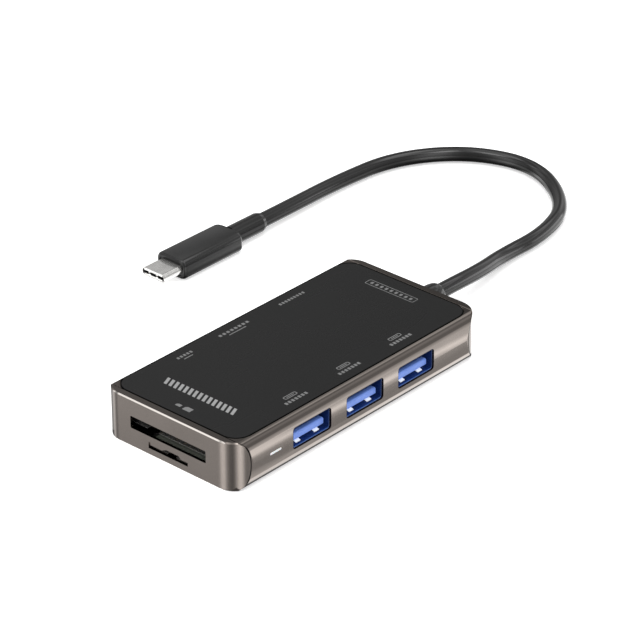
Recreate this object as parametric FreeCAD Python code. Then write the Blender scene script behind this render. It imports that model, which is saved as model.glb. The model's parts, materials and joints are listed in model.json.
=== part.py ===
import FreeCAD, Part
import math
import os

from FreeCAD import Vector

# USB hub: an anodised aluminium body with a satin top panel, two card slots in its front end,
# three USB-A ports along one side, power, network and video ports along the other, and a short
# captive cable with a USB-C plug at the rear.
#
# Frame, in millimetres: the origin is at the bottom centre of the body. +X runs to the cable end,
# -Y is the side with the USB-A ports and +Z is up.

os.makedirs("parts", exist_ok=True)

# ---- driving dimensions of the body ----
LENGTH = 90.0
WIDTH = 44.4
HEIGHT = 13.2
CORNER = 5.9                     # radius of the vertical corners
MIDDLE = HEIGHT / 2
SIDE_ARC = 61.0                  # the sides bulge along this radius
EDGE_ARC = 3.66                  # and turn in to the flat faces along this one
BLEND = math.radians(3.6)        # where the two arcs meet
EDGE_CHAMFER = 0.3

SIDE_WALL = 1.1
END_WALL = 1.2
FLOOR = 1.0                      # inner face of the bottom wall
CEILING = 11.8                   # inner face of the top wall
CAVITY_ROUND = 2.0

# ---- where the end caps part from the sleeve: an elliptical cylinder along Y ----
SEAM_CENTRE = 43.9
SEAM_REACH = 4.0
SEAM_RISE = 6.8
SEAM_GAP = 0.15

# ---- top panel ----
PANEL_LENGTH = 85.4
PANEL_WIDTH = 40.8
PANEL_CORNER = 4.5
PANEL_THICK = 0.6
ADHESIVE_THICK = 0.1
PANEL_GAP = 0.2
PANEL_SEAT = HEIGHT - PANEL_THICK - ADHESIVE_THICK

# ---- boards ----
BOARD_LOW = 9.8
BOARD_THICK = 1.0
BOARD_HIGH = BOARD_LOW + BOARD_THICK
BOARD_LENGTH = 82.6
BOARD_WIDTH = 40.8
SCREW_X = 39.4
SCREW_Y = 18.4
SCREW_RADIUS = 0.72
SHELF_LOW = 5.6                  # underside of the shelves that hold the main board
CARD_BOARD_LOW = 4.3
CARD_BOARD_HIGH = 5.1
CARD_BOARD_FRONT = -44.1
CARD_BOARD_WIDTH = 27.2
CHIP_THICK = 0.7
CHIPS = {                        # x, y and width of each square package
    "hub_controller_chip": (8.0, -3.0, 9.0),
    "video_converter_chip": (24.0, -2.0, 8.0),
    "network_chip": (-12.0, 0.0, 6.0),
    "power_control_chip": (-26.0, 6.0, 5.0),
}

# ---- ports ----
PORT_DEPTH = 0.3                 # how far a port's mouth sits behind the side of the body
PORT_Z = 6.9                     # height of the port centres
USB_A_X = (-18.6, 0.5, 19.6)
USB_A_MOUTH = (13.6, 5.95)       # opening in the body, across and up
USB_A_SHELL = (13.3, 5.8)
USB_A_THICK = 0.25
USB_A_LINER = 0.15
USB_A_LONG = 14.0
USB_A_SPRING_X = 3.3
USB_A_TONGUE = (11.1, 1.84)
USB_A_FRONT = -WIDTH / 2 + PORT_DEPTH
USB_A_TONGUE_TOP = PORT_Z + 0.02
USB_A_LEG_Y = (USB_A_FRONT + 8.0, USB_A_FRONT + 9.6)
POWER_X = -21.0
POWER_SHELL = (8.94, 3.26)
POWER_THICK = 0.3
POWER_LONG = 8.0
VIDEO_X = 17.5
VIDEO_OPENING = 4.55             # height of the mouth inside its shell
VIDEO_THICK = 0.3
VIDEO_LONG = 11.0
VIDEO_Z = BOARD_LOW - VIDEO_OPENING / 2 - VIDEO_THICK
LAN_X = -3.7
LAN_WIDE = 16.0
LAN_Z = (1.25, 11.6)             # underside and top of the network jack
LAN_BACK = 5.9
LAN_FACE = WIDTH / 2 - SIDE_WALL - 0.15
LAN_MOUTH = (13.4, 9.0)          # opening in the body, across and up
LAN_MOUTH_Z = 6.8
LIGHT_X = -31.4
LIGHT_Z = 6.4
LIGHT_BAR = (4.0, 0.66)
LED_SIZE = (1.6, 0.8, 0.7)
CARD_SLOT = (24.7, 3.3)          # full-size card slot, across and up
MICRO_RECESS = (12.9, (1.95, 3.65), 0.3)         # around the small card slot: across, up and deep
MICRO_SLOT_HIGH = 2.7                            # top of the small slot itself
MICRO_BUMP = ((-3.9, 2.5), (-3.1, 0.7), 3.45)    # its raised middle: y at the base and top, then z

# ---- cable and plug ----
CABLE_RADIUS = 2.1
BORE_CLEARANCE = 0.1
RELIEF_NECK = 2.9                # radius where the boot passes through the rear wall
RELIEF_FLANGE = 4.1
RELIEF_ROOT = 3.4
RELIEF_TIP = 2.4
EXIT_Z = 6.1                     # height of the cable's axis where it leaves the body
FLOOR_Z = CABLE_RADIUS + 0.05    # height of the cable's axis where it lies on the table
PLUG_Y = 65.7
PLUG_Z = 2.85
PLUG_TIP = 17.0
PLUG_SHELL = (8.25, 2.4)
PLUG_CAN = (8.9, 3.9)
CAN_X = (24.7, 41.0)
OVERMOULD = (23.6, 46.4)
OVERMOULD_WIDTH = 10.6
OVERMOULD_HEIGHT = 5.6
PLUG_RELIEF_END = 58.4
CABLE_ROUTE = [
    (43.0, 0.0, EXIT_Z),
    (58.0, 0.0, EXIT_Z),
    (73.5, 1.5, 4.3),
    (87.0, 5.0, FLOOR_Z),
    (104.5, 4.5, FLOOR_Z),
    (122.0, 10.5, FLOOR_Z),
    (136.5, 31.0, FLOOR_Z),
    (131.0, 51.5, FLOOR_Z),
    (113.5, 65.0, FLOOR_Z),
    (91.0, 67.0, FLOOR_Z),
    (68.0, PLUG_Y, PLUG_Z),
    (48.0, PLUG_Y, PLUG_Z),
]

DIRECTIONS = {"x": Vector(1, 0, 0), "y": Vector(0, 1, 0), "z": Vector(0, 0, 1)}


# ---- helpers ----
def span(centre, size):
    """The low and high ends of a size set about a centre."""
    return (centre - size / 2, centre + size / 2)


def block(x, y, z):
    """A box between the low and high values of each axis."""
    return Part.makeBox(x[1] - x[0], y[1] - y[0], z[1] - z[0], Vector(x[0], y[0], z[0]))


def soft_block(x, y, z, radius, axis):
    """A box whose four edges along one axis are rounded."""
    box = block(x, y, z)
    along = DIRECTIONS[axis]
    edges = [edge for edge in box.Edges if abs(edge.tangentAt(edge.FirstParameter).dot(along)) > 0.9]
    return box.makeFillet(radius, edges)


def round_bar(centre, size, run, axis):
    """A bar with fully rounded ends that runs along x or y; centre and size are across it, then up."""
    across = span(centre[0], size[0])
    up = span(centre[1], size[1])
    radius = size[1] / 2 - 0.01
    if axis == "y":
        return soft_block(across, run, up, radius, "y")
    return soft_block(run, across, up, radius, "x")


def prism(points, move):
    """A flat polygon pushed along a vector."""
    corners = [Vector(*point) for point in points]
    return Part.Face(Part.makePolygon(corners + corners[:1])).extrude(Vector(*move))


def rod(start, radius, length, axis):
    """A cylinder that starts at a point and runs along an axis, backwards if length is negative."""
    direction = DIRECTIONS[axis] * (1 if length > 0 else -1)
    return Part.makeCylinder(radius, abs(length), Vector(*start), direction)


def turned(profile, axis_y, axis_z):
    """A solid turned about an axis along X from a closed list of (x, radius) points."""
    corners = [Vector(x, axis_y, axis_z + radius) for x, radius in profile]
    face = Part.Face(Part.makePolygon(corners + corners[:1]))
    return face.revolve(Vector(0, axis_y, axis_z), Vector(1, 0, 0), 360)


def group(solids):
    """Several loose solids that share one node."""
    return Part.makeCompound(solids)


def save(node, shape):
    """Write one node and report its size."""
    shape.exportStep("parts/" + node + ".step")
    state = "ok" if shape.isValid() and shape.Volume > 0 else "BAD"
    print(state, node, "solids", len(shape.Solids), "volume", round(shape.Volume, 2))


# ---- body ----
def side_line(sign):
    """One bulging side of the body's cross-section, from the bottom edge to the top edge."""
    centre = WIDTH / 2 - SIDE_ARC
    offset = SIDE_ARC - EDGE_ARC
    end = math.asin((MIDDLE - offset * math.sin(BLEND)) / EDGE_ARC)

    def middle(angle):
        y = centre + SIDE_ARC * math.cos(angle)
        return Vector(0, sign * y, MIDDLE + SIDE_ARC * math.sin(angle))

    def edge(angle, up):
        y = centre + offset * math.cos(BLEND) + EDGE_ARC * math.cos(angle)
        z = MIDDLE + up * (offset * math.sin(BLEND) + EDGE_ARC * math.sin(angle))
        return Vector(0, sign * y, z)

    half = (BLEND + end) / 2
    return [
        Part.Arc(edge(end, -1), edge(half, -1), edge(BLEND, -1)).toShape(),
        Part.Arc(middle(-BLEND), middle(0), middle(BLEND)).toShape(),
        Part.Arc(edge(BLEND, 1), edge(half, 1), edge(end, 1)).toShape(),
    ]


def body_block():
    """The outer shape of the whole body: bulging sides cut by rounded vertical corners."""
    left = side_line(-1)
    right = side_line(1)
    bottom = Part.makeLine(left[0].Vertexes[0].Point, right[0].Vertexes[0].Point)
    top = Part.makeLine(left[-1].Vertexes[-1].Point, right[-1].Vertexes[-1].Point)
    outline = Part.Wire(Part.__sortEdges__(left + right + [bottom, top]))
    barrel = Part.Face(outline).extrude(Vector(LENGTH, 0, 0))
    barrel.translate(Vector(-LENGTH / 2, 0, 0))
    plan = soft_block(span(0, LENGTH), span(0, WIDTH), (0, HEIGHT), CORNER, "z")
    rims = [edge for edge in plan.Edges if edge.BoundBox.ZLength < 0.001]
    return barrel.common(plan.makeChamfer(EDGE_CHAMFER, rims))


def cavity_block():
    """The hollow inside the body."""
    x = span(0, LENGTH - 2 * END_WALL)
    y = span(0, WIDTH - 2 * SIDE_WALL)
    tunnel = soft_block(x, y, (FLOOR, CEILING), CAVITY_ROUND, "x")
    return tunnel.common(soft_block(x, y, (0, HEIGHT), CORNER - END_WALL, "z"))


def beyond_seam(end, gap):
    """The space on the cap's side of the seam; end is -1 at the front and +1 at the rear."""
    reach = SEAM_REACH + gap
    rise = SEAM_RISE + gap / 2
    middle = Vector(end * SEAM_CENTRE, -WIDTH, MIDDLE)
    tall = Part.Ellipse(middle + Vector(0, 0, rise), middle + Vector(reach, 0, 0), middle)
    oval = Part.Face(Part.Wire(tall.toShape())).extrude(Vector(0, 2 * WIDTH, 0))
    far = sorted((end * (SEAM_CENTRE - gap / 2), end * LENGTH))
    return oval.fuse(block(far, (-WIDTH, WIDTH), (-1, HEIGHT + 1)))


def panel_pocket():
    """The seat that the top panel lies in."""
    x = span(0, PANEL_LENGTH + 2 * PANEL_GAP)
    y = span(0, PANEL_WIDTH + 2 * PANEL_GAP)
    return soft_block(x, y, (PANEL_SEAT, HEIGHT + 1), PANEL_CORNER + PANEL_GAP, "z")


def video_outline(grow, y, depth):
    """The video port's mouth: square at the top, with its lower corners cut off."""
    wide = 7.0 + grow
    narrow = 5.2 + grow
    high = VIDEO_Z + VIDEO_OPENING / 2 + grow
    low = VIDEO_Z - VIDEO_OPENING / 2 - grow
    shoulder = VIDEO_Z - 0.6
    points = [(-wide, high), (wide, high), (wide, shoulder), (narrow, low), (-narrow, low), (-wide, shoulder)]
    return prism([(VIDEO_X + x, y, z) for x, z in points], (0, depth, 0))


def side_openings():
    """Holes through the two long sides for the ports and the status light."""
    near = (-WIDTH, -WIDTH / 2 + 3)
    far = (WIDTH / 2 - 3, WIDTH)
    holes = []
    for x in USB_A_X:
        holes.append(soft_block(span(x, USB_A_MOUTH[0]), near, span(PORT_Z, USB_A_MOUTH[1]), 0.9, "y"))
    light_gap = 0.06
    light_size = (LIGHT_BAR[0] + light_gap, LIGHT_BAR[1] + light_gap)
    holes.append(round_bar((LIGHT_X, LIGHT_Z), light_size, near, "y"))
    power_gap = 0.36
    power_size = (POWER_SHELL[0] + power_gap, POWER_SHELL[1] + power_gap)
    holes.append(round_bar((POWER_X, PORT_Z), power_size, far, "y"))
    holes.append(soft_block(span(LAN_X, LAN_MOUTH[0]), far, span(LAN_MOUTH_Z, LAN_MOUTH[1]), 0.4, "y"))
    holes.append(video_outline(VIDEO_THICK + 0.15, far[0], WIDTH))
    jack_gap = 0.05
    jack_z = (LAN_Z[0] - jack_gap, LAN_Z[1] + jack_gap)
    holes.append(block(span(LAN_X, LAN_WIDE + 2 * jack_gap), (WIDTH / 2 - 5, LAN_FACE + jack_gap), jack_z))
    return holes


def cap_shelf(end, side):
    """A shelf inside an end cap, under one corner of the main board."""
    x = sorted((end * (LENGTH / 2 - END_WALL + 0.4), end * (SCREW_X - 1.6)))
    y = sorted((side * (SCREW_Y - 1.8), side * (WIDTH / 2 - 1.7)))
    return block(x, y, (SHELF_LOW, BOARD_LOW)).common(body_block())


def micro_slot():
    """The small card slot: a shallow recess, a thin slot with a raised middle, and a pocket behind it."""
    across, up, depth = MICRO_RECESS
    outside = -LENGTH / 2 - 1
    inside = -LENGTH / 2 + 3
    recess = soft_block((outside, -LENGTH / 2 + depth), span(0, across), up, 0.25, "x")
    slot = block((outside, inside), span(0, across), (up[0], MICRO_SLOT_HIGH))
    base, top, high = MICRO_BUMP
    low = MICRO_SLOT_HIGH - 0.01
    points = [(base[0], low), (base[1], low), (top[1], high), (top[0], high)]
    bump = prism([(outside, y, z) for y, z in points], (inside - outside, 0, 0))
    behind = block((-LENGTH / 2 + depth + 0.35, inside), span(0, across + 0.6), (up[0] - 0.2, up[1] + 0.1))
    return recess.fuse(slot).fuse(bump).fuse(behind)


def card_slot():
    """The full-size card slot, and a pocket behind it that takes the front edge of the little board."""
    through = (-LENGTH / 2 - 1, -LENGTH / 2 + 3)
    slot = soft_block(through, span(0, CARD_SLOT[0]), span(PORT_Z, CARD_SLOT[1]), 0.3, "x")
    pocket_z = (CARD_BOARD_LOW - 0.1, PORT_Z + CARD_SLOT[1] / 2 + 0.3)
    pocket = block((CARD_BOARD_FRONT - 0.1, through[1]), span(0, CARD_BOARD_WIDTH + 0.2), pocket_z)
    return slot.fuse(pocket)


def body_parts():
    """The sleeve and its two end caps, cut from one shell along the seams."""
    shell = body_block().cut(cavity_block()).cut(panel_pocket())
    sleeve = shell.cut(beyond_seam(-1, SEAM_GAP)).cut(beyond_seam(1, SEAM_GAP))
    sleeve = sleeve.cut(group(side_openings()))

    hole = SCREW_RADIUS + 0.08
    caps = []
    for end in (-1, 1):
        cap = shell.common(beyond_seam(end, 0))
        for side in (-1, 1):
            cap = cap.fuse(cap_shelf(end, side))
            cap = cap.cut(rod((end * SCREW_X, side * SCREW_Y, SHELF_LOW + 1), hole, HEIGHT, "z"))
        caps.append(cap.removeSplitter())

    front = caps[0].cut(card_slot()).cut(micro_slot())
    rear = caps[1].cut(rod((LENGTH / 2 - 5, 0, EXIT_Z), RELIEF_NECK + BORE_CLEARANCE, 10, "x"))
    return sleeve, front, rear


def panel_sheet(inset, z):
    """A flat sheet with the panel's outline, or one set in from it."""
    x = span(0, PANEL_LENGTH - 2 * inset)
    y = span(0, PANEL_WIDTH - 2 * inset)
    return soft_block(x, y, z, PANEL_CORNER - inset, "z")


# ---- status light ----
def light_pipe():
    """A clear bar that shows in the side and bends up inside to the lamp on the board."""
    outside = -WIDTH / 2 + 0.08
    inside = -WIDTH / 2 + SIDE_WALL + 0.05
    bar = round_bar((LIGHT_X, LIGHT_Z), LIGHT_BAR, (outside, inside + 0.8), "y")
    flange = block(span(LIGHT_X, 5.4), (inside, inside + 0.8), span(LIGHT_Z, 2.4))
    riser = block(span(LIGHT_X, 2.4), (inside, inside + 1.6), (LIGHT_Z - 0.5, BOARD_LOW - LED_SIZE[2] - 0.1))
    return bar.fuse(flange).fuse(riser).removeSplitter()


def status_led():
    """The surface-mount lamp above the light pipe."""
    y = span(-WIDTH / 2 + SIDE_WALL + 1.25, LED_SIZE[1])
    return block(span(LIGHT_X, LED_SIZE[0]), y, (BOARD_LOW - LED_SIZE[2], BOARD_LOW))


# ---- USB-A ports ----
def usb_a_springs(x, up):
    """Two bent tabs on one wide wall of the shell; up is +1 on the lower wall and -1 on the upper."""
    wall = PORT_Z - up * (USB_A_SHELL[1] / 2 - USB_A_THICK)
    # distance behind the mouth and height above the wall's inner face
    upper = [(6.2, -0.25), (6.2, 0.0), (5.2, 0.0), (2.6, 0.55), (1.3, 0.1)]
    outline = upper + [(1.3, -0.12), (2.6, 0.33), (5.2, -0.25)]
    points = [(USB_A_FRONT + depth, wall + up * rise) for depth, rise in outline]
    wide = 1.6
    tabs = []
    for side in (-1, 1):
        left = x + side * USB_A_SPRING_X - wide / 2
        tabs.append(prism([(left, y, z) for y, z in points], (wide, 0, 0)))
    return tabs


def usb_a_windows(x, reach):
    """Clearance around the bent tabs, through both wide walls, to a depth behind the mouth."""
    places = [x - USB_A_SPRING_X, x + USB_A_SPRING_X]
    depth = (USB_A_FRONT + 0.9, USB_A_FRONT + reach)
    tall = (PORT_Z - USB_A_SHELL[1], PORT_Z + USB_A_SHELL[1])
    return group([block(span(place, 2.1), depth, tall) for place in places])


def usb_a_tube(x, size, wall, depth, round_out, round_in):
    """A rectangular tube with soft corners, open at the mouth of the port and closed at the back."""
    back = depth[1]
    outer = soft_block(span(x, size[0]), depth, span(PORT_Z, size[1]), round_out, "y")
    hollow_x = span(x, size[0] - 2 * wall)
    hollow_z = span(PORT_Z, size[1] - 2 * wall)
    return outer.cut(soft_block(hollow_x, (USB_A_FRONT - 1, back - wall), hollow_z, round_in, "y"))


def usb_a_shell(x):
    """The folded steel shell of a port, with spring tabs and two mounting legs."""
    depth = (USB_A_FRONT, USB_A_FRONT + USB_A_LONG)
    shell = usb_a_tube(x, USB_A_SHELL, USB_A_THICK, depth, 0.8, 0.55).cut(usb_a_windows(x, 5.6))
    for tab in usb_a_springs(x, 1) + usb_a_springs(x, -1):
        shell = shell.fuse(tab)
    half = USB_A_SHELL[0] / 2
    for side in (-1, 1):
        leg_x = sorted((x + side * half, x + side * (half - USB_A_THICK)))
        shell = shell.fuse(block(leg_x, USB_A_LEG_Y, (PORT_Z, BOARD_HIGH + 0.3)))
    return shell.removeSplitter()


def usb_a_insulator(x):
    """The coloured plastic of a port: a thin liner, the tongue and the block behind them."""
    size = (USB_A_SHELL[0] - 2 * USB_A_THICK, USB_A_SHELL[1] - 2 * USB_A_THICK)
    back = USB_A_FRONT + USB_A_LONG - USB_A_THICK
    block_front = USB_A_FRONT + 9.0
    liner = usb_a_tube(x, size, USB_A_LINER, (USB_A_FRONT + 0.15, block_front), 0.55, 0.4)
    rear = soft_block(span(x, size[0]), (block_front - USB_A_LINER, back), span(PORT_Z, size[1]), 0.55, "y")
    return liner.cut(usb_a_windows(x, 6.4)).fuse(rear).fuse(usb_a_tongue(x)).removeSplitter()


def usb_a_tongue(x):
    """The tongue in the lower half of the mouth, with a chamfered nose."""
    nose = USB_A_FRONT + 1.2
    top = USB_A_TONGUE_TOP
    low = top - USB_A_TONGUE[1]
    long = 9.0
    chamfer = 0.3
    outline = [(0, low + chamfer), (chamfer, low), (long, low)]
    outline += [(long, top), (chamfer, top), (0, top - chamfer)]
    left = x - USB_A_TONGUE[0] / 2
    return prism([(left, nose + depth, z) for depth, z in outline], (USB_A_TONGUE[0], 0, 0))


def usb_a_contacts(x):
    """Four long contacts and five short ones on the tongue."""
    z = (USB_A_TONGUE_TOP, USB_A_TONGUE_TOP + 0.08)
    long_y = (USB_A_FRONT + 5.0, USB_A_FRONT + 9.0 - USB_A_LINER)
    short_y = (USB_A_FRONT + 3.0, USB_A_FRONT + 4.6)
    long_strips = [block(span(x + place, 1.0), long_y, z) for place in (-3.5, -1.0, 1.0, 3.5)]
    short_strips = [block(span(x + place * 2.0, 0.6), short_y, z) for place in range(-2, 3)]
    return group(long_strips + short_strips)


# ---- power port (USB-C) ----
def power_port():
    """Shell, insulator and contacts of the power inlet, which hangs below the board on a riser."""
    front = WIDTH / 2 - PORT_DEPTH
    back = front - POWER_LONG
    middle = (POWER_X, PORT_Z)
    inside = (POWER_SHELL[0] - 2 * POWER_THICK, POWER_SHELL[1] - 2 * POWER_THICK)
    shell = round_bar(middle, POWER_SHELL, (back, front), "y")
    shell = shell.cut(round_bar(middle, inside, (back - 1, front + 1), "y"))

    root = back + 1.6
    tongue_thick = 0.7
    plug = round_bar(middle, (inside[0] - 0.04, inside[1] - 0.04), (back, root), "y")
    tongue = block(span(POWER_X, 6.69), (root, front - 0.6), span(PORT_Z, tongue_thick))
    wide = span(POWER_X, POWER_SHELL[0] + 0.5)
    carrier = block(wide, (back - 1.4, back), (PORT_Z - POWER_SHELL[1] / 2, BOARD_LOW))
    riser = block(wide, (back, back + 5.0), (PORT_Z + POWER_SHELL[1] / 2 + 0.02, BOARD_LOW))
    insulator = plug.fuse(tongue).fuse(carrier).fuse(riser).removeSplitter()

    strips = []
    for number in range(12):
        x = POWER_X + (number - 5.5) * 0.5
        for side in (-1, 1):
            z = sorted((PORT_Z + side * tongue_thick / 2, PORT_Z + side * (tongue_thick / 2 + 0.07)))
            strips.append(block(span(x, 0.25), (root, front - 1.4), z))
    return shell, insulator, group(strips)


# ---- video port ----
def video_port():
    """Shell, insulator and contacts of the video output."""
    front = WIDTH / 2 - PORT_DEPTH
    back = front - VIDEO_LONG
    shell = video_outline(VIDEO_THICK, back, VIDEO_LONG).cut(video_outline(0.0, back - 1, VIDEO_LONG + 2))

    root = back + 2.0
    low = VIDEO_Z - 0.3
    high = VIDEO_Z + 1.3
    tongue = block(span(VIDEO_X, 10.8), (root, front - 1.0), (low, high))
    insulator = video_outline(-0.02, back, root - back).fuse(tongue).removeSplitter()

    strips = []
    for count, z in ((10, (high, high + 0.08)), (9, (low - 0.08, low))):
        for number in range(count):
            x = VIDEO_X + number - (count - 1) / 2
            strips.append(block(span(x, 0.45), (root, front - 2.4), z))
    return shell, insulator, group(strips)


# ---- network port ----
def lan_port():
    """Shield, housing and contact springs of the low-profile network jack, latch side down."""
    low, high = LAN_Z
    steel = 0.25
    skin = steel + 0.03
    nose = WIDTH / 2 - 0.35
    shield = block(span(LAN_X, LAN_WIDE), (LAN_BACK, LAN_FACE), LAN_Z)
    hollow_x = span(LAN_X, LAN_WIDE - 2 * steel)
    shield = shield.cut(block(hollow_x, (LAN_BACK + steel, WIDTH), (low + steel, high - steel)))

    cavity_low = 4.3
    cavity_high = 11.0
    cavity_back = 8.6
    latch_back = cavity_back + 3
    body = block(span(LAN_X, LAN_WIDE - 2 * skin), (LAN_BACK + skin, LAN_FACE), (low + skin, high - skin))
    nose_z = span(LAN_MOUTH_Z, LAN_MOUTH[1] - 0.2)
    body = body.fuse(soft_block(span(LAN_X, LAN_MOUTH[0] - 0.2), (LAN_FACE, nose), nose_z, 0.3, "y"))
    body = body.cut(block(span(LAN_X, 11.7), (cavity_back, WIDTH), (cavity_low, cavity_high)))
    body = body.cut(block(span(LAN_X, 6.3), (latch_back, WIDTH), (cavity_low - 0.9, cavity_high)))
    body = body.cut(block(span(LAN_X, 3.4), (latch_back, WIDTH), (cavity_low - 1.5, cavity_high)))

    # each spring slopes down from the roof near the mouth towards the back of the cavity
    tip = 20.0
    root = 11.0
    fall = 2.6
    thick = 0.3
    outline = [
        (tip, cavity_high),
        (tip, cavity_high - thick),
        (root, cavity_high - fall - thick),
        (root, cavity_high - fall),
        (tip - 0.6, cavity_high),
    ]
    springs = []
    for number in range(8):
        left = LAN_X + (number - 3.5) * 1.02 - 0.18
        springs.append(prism([(left, y, z) for y, z in outline], (0.36, 0, 0)))
    return shield, body.removeSplitter(), group(springs)


# ---- card sockets ----
def push_socket(x, half, path, roof, wall, plate_thick, notch):
    """Base and steel cover of a card socket that opens forwards, with its cover below.

    half is half the card's path across, path its low and high faces, and notch the outline of the
    cut-out in the cover's front edge, as (depth, y) points.
    """
    front, back = x
    low, high = path
    base = block(x, (-half - wall, half + wall), (low, roof))
    base = base.cut(block((front - 1, back - 1.2), (-half, half), (low - 1, high)))

    cover = block(x, (-half - wall, half + wall), (low - plate_thick, low))
    cover = cover.cut(prism([(front + depth, y, low - 1) for depth, y in notch], (0, 0, 2)))
    for side in (-1, 1):
        fold = sorted((side * (half + wall), side * (half + wall + plate_thick)))
        cover = cover.fuse(block(x, fold, (low - plate_thick, roof - 0.05)))
    return base, cover.removeSplitter()


def socket_contacts(count, pitch, wide, outline):
    """A row of bent contacts, each the same (x, z) outline."""
    strips = []
    for number in range(count):
        y = (number - (count - 1) / 2) * pitch - wide / 2
        strips.append(prism([(x, y, z) for x, z in outline], (0, wide, 0)))
    return group(strips)


def card_socket():
    """Base, cover and contacts of the full-size card socket, which hangs below the main board."""
    path = (5.6, 8.1)
    notch = [(-0.1, 5.1), (-0.1, 8.8), (6.0, 8.8), (6.0, 5.1)]
    base, cover = push_socket((-42.8, -26.8), CARD_SLOT[0] / 2, path, BOARD_LOW, 1.9, 0.2, notch)
    bend = [(-40.0, path[1]), (-37.2, path[1] - 0.5), (-36.0, path[1]), (-37.2, path[1] - 0.4)]
    return base, cover, socket_contacts(9, 2.5, 0.8, bend)


def micro_socket():
    """Base, cover and contacts of the small card socket, which hangs below its own little board."""
    path = (1.9, 2.8)
    notch = [(-0.1, -1.5), (-0.1, 1.5), (0.8, 1.1), (0.8, -1.1)]
    base, cover = push_socket((-43.7, -29.0), 5.7, path, CARD_BOARD_LOW, 1.2, 0.15, notch)
    bend = [(-37.5, path[1]), (-35.4, path[1] - 0.3), (-34.4, path[1]), (-35.4, path[1] - 0.2)]
    return base, cover, socket_contacts(8, 1.1, 0.6, bend)


# ---- boards and what is on them ----
def main_board():
    """The main circuit board, with a bay for the network jack, screw holes and slots for legs."""
    outline = soft_block(span(0, BOARD_LENGTH), span(0, BOARD_WIDTH), (BOARD_LOW, BOARD_HIGH), 3.5, "z")
    holes = [block(span(LAN_X, LAN_WIDE + 0.4), (LAN_BACK - 0.3, WIDTH), (0, HEIGHT))]
    for x, y in screw_places():
        holes.append(rod((x, y, 0), SCREW_RADIUS + 0.23, HEIGHT, "z"))
    slot_y = (USB_A_LEG_Y[0] - 0.3, USB_A_LEG_Y[1] + 0.3)
    for x in USB_A_X:
        for side in (-1, 1):
            leg = x + side * (USB_A_SHELL[0] - USB_A_THICK) / 2
            holes.append(block(span(leg, 0.7), slot_y, (0, HEIGHT)))
    return outline.cut(group(holes))


def screw_places():
    """The four screws that hold the main board on the shelves of the end caps."""
    return [(end * SCREW_X, side * SCREW_Y) for end in (-1, 1) for side in (-1, 1)]


def board_screws():
    """Small pan-head screws with a cross recess."""
    tip = SHELF_LOW + 1.3
    recess = (BOARD_HIGH + 0.4, HEIGHT)
    screws = []
    for x, y in screw_places():
        cross = block(span(x, 1.6), span(y, 0.35), recess).fuse(block(span(x, 0.35), span(y, 1.6), recess))
        head = rod((x, y, BOARD_HIGH), 1.5, 0.75, "z")
        shank = rod((x, y, tip), SCREW_RADIUS, BOARD_HIGH - tip, "z")
        screws.append(head.fuse(shank).cut(cross).removeSplitter())
    return group(screws)


def card_board():
    """The little board between the two card sockets, with one front corner cut away."""
    board = block((CARD_BOARD_FRONT, -27.2), span(0, CARD_BOARD_WIDTH), (CARD_BOARD_LOW, CARD_BOARD_HIGH))
    return board.cut(block((-LENGTH / 2, -37.0), (5.1, 14.0), (0, HEIGHT)))


def board_link_pins():
    """Bent pins that join the little board to the main board, behind the card socket."""
    pins = []
    for number in range(10):
        y = span((number - 4.5) * 1.27, 0.4)
        upright = block((-26.5, -26.1), y, (CARD_BOARD_LOW - 0.3, BOARD_LOW))
        foot = block((-27.2, -26.5), y, (CARD_BOARD_LOW + 0.3, CARD_BOARD_LOW + 0.6))
        pins.append(upright.fuse(foot).removeSplitter())
    return group(pins)


def chip(x, y, size):
    """A square flat package on top of the main board, with a dimple at its first pin."""
    body = block(span(x, size), span(y, size), (BOARD_HIGH, BOARD_HIGH + CHIP_THICK))
    dimple = rod((x - size * 0.36, y - size * 0.36, BOARD_HIGH + CHIP_THICK - 0.1), size * 0.05, 1, "z")
    return body.cut(dimple)


def thermal_pads():
    """Soft pads that carry heat from the two largest chips to the sleeve."""
    pads = []
    for node in ("hub_controller_chip", "video_converter_chip"):
        x, y, size = CHIPS[node]
        pads.append(block(span(x, size), span(y, size), (BOARD_HIGH + CHIP_THICK, CEILING)))
    return group(pads)


def below_board(places, size):
    """Equal parts fixed to the underside of the main board."""
    length, width, tall = size
    return group([block(span(x, length), span(y, width), (BOARD_LOW - tall, BOARD_LOW)) for x, y in places])


def capacitors():
    """Round capacitors with a flat base, on the underside of the main board."""
    cans = []
    for x, y in ((-20.0, 0.0), (-20.0, 5.0), (32.0, -1.0), (32.0, 5.0)):
        can = rod((x, y, BOARD_LOW - 0.4), 2.0, -4.6, "z")
        foot = block(span(x, 4.3), span(y, 4.3), (BOARD_LOW - 0.4, BOARD_LOW))
        cans.append(can.fuse(foot).removeSplitter())
    return group(cans)


# ---- cable ----
def arc_path(route):
    """Straight runs joined by tangent arcs, each as large as its two runs allow."""
    points = [Vector(*point) for point in route]
    edges = []
    radii = []
    start = points[0]
    for before, corner, after in zip(points, points[1:], points[2:]):
        back = (before - corner).normalize()
        ahead = (after - corner).normalize()
        turn = math.pi - back.getAngle(ahead)
        reach = 0.45 * min((before - corner).Length, (after - corner).Length)
        radius = reach / math.tan(turn / 2)
        inward = (back + ahead).normalize()
        centre = corner + inward * (radius / math.cos(turn / 2))
        first = corner + back * reach
        last = corner + ahead * reach
        edges.append(Part.LineSegment(start, first).toShape())
        edges.append(Part.Arc(first, centre - inward * radius, last).toShape())
        radii.append(round(radius, 1))
        start = last
    edges.append(Part.LineSegment(start, points[-1]).toShape())
    return Part.Wire(edges), radii


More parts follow.
